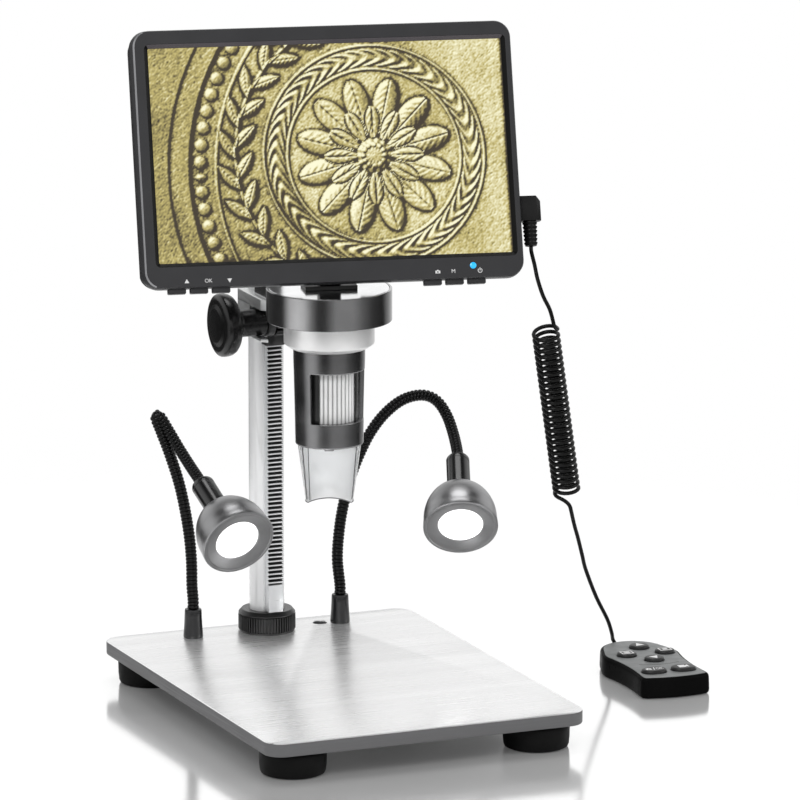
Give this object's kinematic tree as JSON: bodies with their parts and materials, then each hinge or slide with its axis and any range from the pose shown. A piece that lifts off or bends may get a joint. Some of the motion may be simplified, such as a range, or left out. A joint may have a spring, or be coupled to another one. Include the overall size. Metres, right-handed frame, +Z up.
{
  "type": "lcd digital microscope",
  "caption": "Digital microscope with a tilting screen on a rack-and-pinion stand, a clear-hooded focusing head, gooseneck lamps and a wired hand remote.",
  "frame": {"origin": "on the optical axis, on the stage plate's top face", "axes": "+X to the user's right along the stage's front edge, +Y away from the user, +Z up; the table is at z = -0.017"},
  "size_m": [0.2426, 0.194, 0.2878],
  "materials": {
    "silver_plate": "brushed",
    "polished_steel": "polished",
    "rack_steel": "cut teeth, satin",
    "black_rubber": "matte",
    "screw_steel": "blackened",
    "knurled_steel": "knurled, black",
    "grey_aluminium": "satin",
    "black_anodised": "black anodised, polished edges",
    "barrel_black": "satin black lacquer",
    "nut_silver": "satin, turned",
    "clear_plastic": "clear moulded acrylic",
    "wheel_grey": "moulded ribs",
    "knob_black": "moulded",
    "lens_glass": "coated lens",
    "circuit_green": "circuit board",
    "hinge_black": "black paint",
    "frame_black": "fine moulded gloss",
    "housing_black": "fine moulded grain",
    "picture_glass": "lit picture panel",
    "led_blue": "lit",
    "battery_silver": "foil",
    "cord_black": "smooth jacket",
    "gooseneck_black": "black wound steel",
    "lamp_metal": "dark turned aluminium",
    "lamp_white": "lit diffuser",
    "remote_black": "moulded",
    "remote_grey": "soft grey film",
    "key_black": "silicone keys"
  },
  "bodies": {
    "stand": {"stage_plate": "silver_plate", "feet": "black_rubber", "base_screws": "screw_steel", "column": "polished_steel", "column_cap": "polished_steel", "column_collar": "knurled_steel", "rack": "rack_steel", "rack_screws": "screw_steel", "lamp_socket": "remote_black", "gooseneck_boots": "black_rubber", "cord_tail": "cord_black"},
    "carriage": {"carriage_block": "grey_aluminium", "holder_ring": "black_anodised", "arm_screws": "screw_steel", "brake_screw": "screw_steel", "head_cap": "polished_steel", "barrel": "barrel_black", "lock_nut": "nut_silver", "clear_hood": "clear_plastic", "led_board": "circuit_green", "sensor_board": "circuit_green", "cord_coil": "cord_black"},
    "knob": {"focus_knob": "knob_black", "pinion_shaft": "rack_steel"},
    "focus_ring": {"focus_wheel": "wheel_grey"},
    "lens": {"lens_cell": "barrel_black", "lens_glass": "lens_glass"},
    "swivel": {"swivel_neck": "hinge_black"},
    "screen": {"hinge_pin": "screw_steel", "front_frame": "frame_black", "rear_housing": "housing_black", "lcd_panel": "picture_glass", "main_board": "circuit_green", "battery": "battery_silver", "status_led": "led_blue", "housing_screws": "screw_steel", "remote_plug": "black_rubber", "cord_top": "cord_black"},
    "left_arm": {"left_gooseneck": "gooseneck_black"},
    "left_lamp": {"left_lamp_head": "lamp_metal", "left_lamp_lens": "lamp_white"},
    "right_arm": {"right_gooseneck": "gooseneck_black"},
    "right_lamp": {"right_lamp_head": "lamp_metal", "right_lamp_lens": "lamp_white"},
    "remote": {"remote_base": "remote_black", "remote_cover": "remote_grey", "remote_board": "circuit_green"},
    "screen_key_up": {"screen_key_up": "frame_black"},
    "screen_key_ok": {"screen_key_ok": "frame_black"},
    "screen_key_down": {"screen_key_down": "frame_black"},
    "screen_key_home": {"screen_key_home": "frame_black"},
    "screen_key_menu": {"screen_key_menu": "frame_black"},
    "screen_key_power": {"screen_key_power": "frame_black"},
    "remote_key_right": {"remote_key_right": "key_black"},
    "remote_key_menu": {"remote_key_menu": "key_black"},
    "remote_key_zoom": {"remote_key_zoom": "key_black"},
    "remote_key_left": {"remote_key_left": "key_black"},
    "remote_key_photo": {"remote_key_photo": "key_black"},
    "remote_key_video": {"remote_key_video": "key_black"}
  },
  "joints": [
    {"name": "height_slide", "type": "slide", "parent": "stand", "child": "carriage", "axis": [0, 0, 1], "range_m": [-0.066, 0.022], "deforming": ["cord_coil"]},
    {"name": "knob_turn", "type": "hinge", "parent": "carriage", "child": "knob", "pos_m": [0, 0.05488, 0.139], "axis": [1, 0, 0], "range_deg": [-215, 635]},
    {"name": "focus_turn", "type": "hinge", "parent": "carriage", "child": "focus_ring", "pos_m": [0, 0, 0.118], "axis": [0, 0, 1], "range_deg": [-120, 120]},
    {"name": "lens_slide", "type": "slide", "parent": "carriage", "child": "lens", "axis": [0, 0, 1], "range_m": [-0.003, 0.003]},
    {"name": "screen_swivel", "type": "hinge", "parent": "carriage", "child": "swivel", "pos_m": [0, 0, 0.1638], "axis": [0, 0, 1], "range_deg": [-45, 45]},
    {"name": "screen_tilt", "type": "hinge", "parent": "swivel", "child": "screen", "pos_m": [0, 0, 0.1764], "axis": [-0.9744, 0.225, 0], "range_deg": [-20, 45], "deforming": ["cord_top"]},
    {"name": "left_lamp_swing", "type": "hinge", "parent": "stand", "child": "left_arm", "pos_m": [-0.034, 0.071, 0.0085], "axis": [0, 0, 1], "range_deg": [-35, 15]},
    {"name": "left_lamp_bend", "type": "hinge", "parent": "left_arm", "child": "left_lamp", "pos_m": [-0.049, 0.0733, 0.097], "axis": [-1, 0, 0], "range_deg": [-20, 20], "deforming": ["left_gooseneck"]},
    {"name": "right_lamp_swing", "type": "hinge", "parent": "stand", "child": "right_arm", "pos_m": [0.034, 0.071, 0.0085], "axis": [0, 0, -1], "range_deg": [-35, 30]},
    {"name": "right_lamp_bend", "type": "hinge", "parent": "right_arm", "child": "right_lamp", "pos_m": [0.0734, 0.074, 0.0962], "axis": [-1, 0, 0], "range_deg": [-20, 20], "deforming": ["right_gooseneck"]},
    {"name": "remote_lift", "type": "slide", "parent": "stand", "child": "remote", "axis": [0, 0, 1], "range_m": [0, 0.1], "deforming": ["cord_tail"]},
    {"name": "press_screen_up", "type": "slide", "parent": "screen", "child": "screen_key_up", "axis": [0.0769, 0.3333, 0.9397], "range_m": [0, 0.0008], "stiffness_N_per_m": 400},
    {"name": "press_screen_ok", "type": "slide", "parent": "screen", "child": "screen_key_ok", "axis": [0.0769, 0.3333, 0.9397], "range_m": [0, 0.0008], "stiffness_N_per_m": 400},
    {"name": "press_screen_down", "type": "slide", "parent": "screen", "child": "screen_key_down", "axis": [0.0769, 0.3333, 0.9397], "range_m": [0, 0.0008], "stiffness_N_per_m": 400},
    {"name": "press_screen_home", "type": "slide", "parent": "screen", "child": "screen_key_home", "axis": [0.0769, 0.3333, 0.9397], "range_m": [0, 0.0008], "stiffness_N_per_m": 400},
    {"name": "press_screen_menu", "type": "slide", "parent": "screen", "child": "screen_key_menu", "axis": [0.0769, 0.3333, 0.9397], "range_m": [0, 0.0008], "stiffness_N_per_m": 400},
    {"name": "press_screen_power", "type": "slide", "parent": "screen", "child": "screen_key_power", "axis": [0.0769, 0.3333, 0.9397], "range_m": [0, 0.0008], "stiffness_N_per_m": 400},
    {"name": "press_remote_right", "type": "slide", "parent": "remote", "child": "remote_key_right", "axis": [0, 0, -1], "range_m": [0, 0.0008], "stiffness_N_per_m": 400},
    {"name": "press_remote_menu", "type": "slide", "parent": "remote", "child": "remote_key_menu", "axis": [0, 0, -1], "range_m": [0, 0.0008], "stiffness_N_per_m": 400},
    {"name": "press_remote_zoom", "type": "slide", "parent": "remote", "child": "remote_key_zoom", "axis": [0, 0, -1], "range_m": [0, 0.0008], "stiffness_N_per_m": 400},
    {"name": "press_remote_left", "type": "slide", "parent": "remote", "child": "remote_key_left", "axis": [0, 0, -1], "range_m": [0, 0.0008], "stiffness_N_per_m": 400},
    {"name": "press_remote_photo", "type": "slide", "parent": "remote", "child": "remote_key_photo", "axis": [0, 0, -1], "range_m": [0, 0.0008], "stiffness_N_per_m": 400},
    {"name": "press_remote_video", "type": "slide", "parent": "remote", "child": "remote_key_video", "axis": [0, 0, -1], "range_m": [0, 0.0008], "stiffness_N_per_m": 400}
  ],
  "couplings": [
    {"joint": "knob_turn", "follows": "height_slide", "rad_per_m": -166.67},
    {"joint": "lens_slide", "follows": "focus_turn", "m_per_rad": 0.001432}
  ]
}
